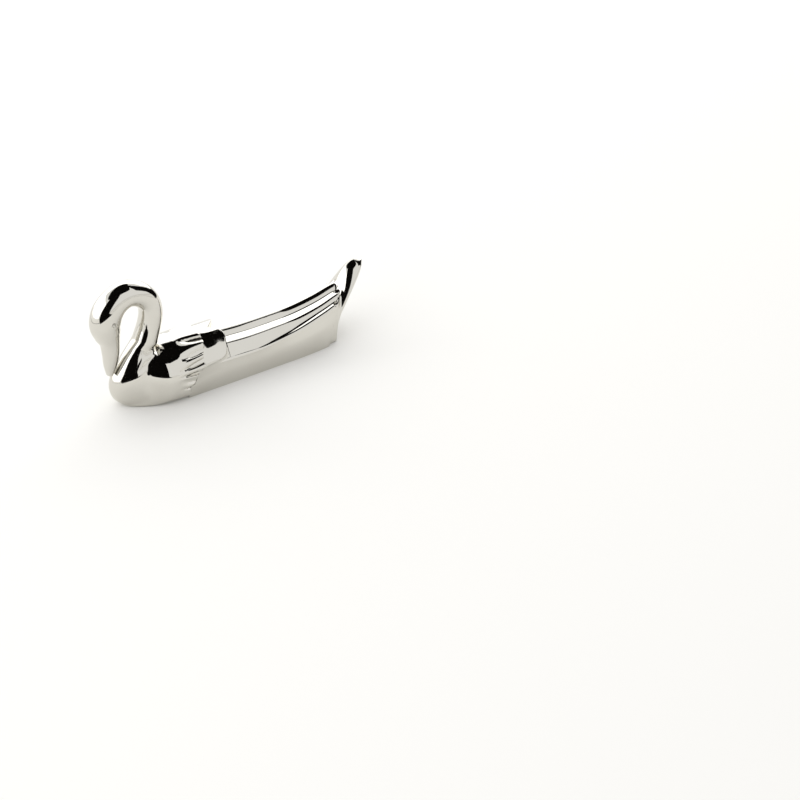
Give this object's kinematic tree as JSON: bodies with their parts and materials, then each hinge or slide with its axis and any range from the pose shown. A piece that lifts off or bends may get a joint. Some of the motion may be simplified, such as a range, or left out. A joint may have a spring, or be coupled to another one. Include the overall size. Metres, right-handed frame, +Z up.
{
  "type": "knife rest",
  "caption": "Polished silver-plated knife rest shaped as a swimming swan, with a curled neck, a fluted bar that cradles the blade, an upturned tail and a flat sole.",
  "frame": {"origin": "middle of the bounding box in plan, on the plane of the flat sole", "axes": "+Z is up, the head looks towards -X and the tail points to +X, the swan's left side is at -Y; the figure is symmetrical about the plane Y = 0"},
  "size_m": [0.0842, 0.0192, 0.0376],
  "materials": {
    "silver_plate": "polished silver plate"
  },
  "bodies": {
    "root": {"breast": "silver_plate", "saddle": "silver_plate", "rest_bar": "silver_plate", "tail": "silver_plate", "neck": "silver_plate", "head": "silver_plate", "left_eye": "silver_plate", "right_eye": "silver_plate"}
  },
  "joints": []
}
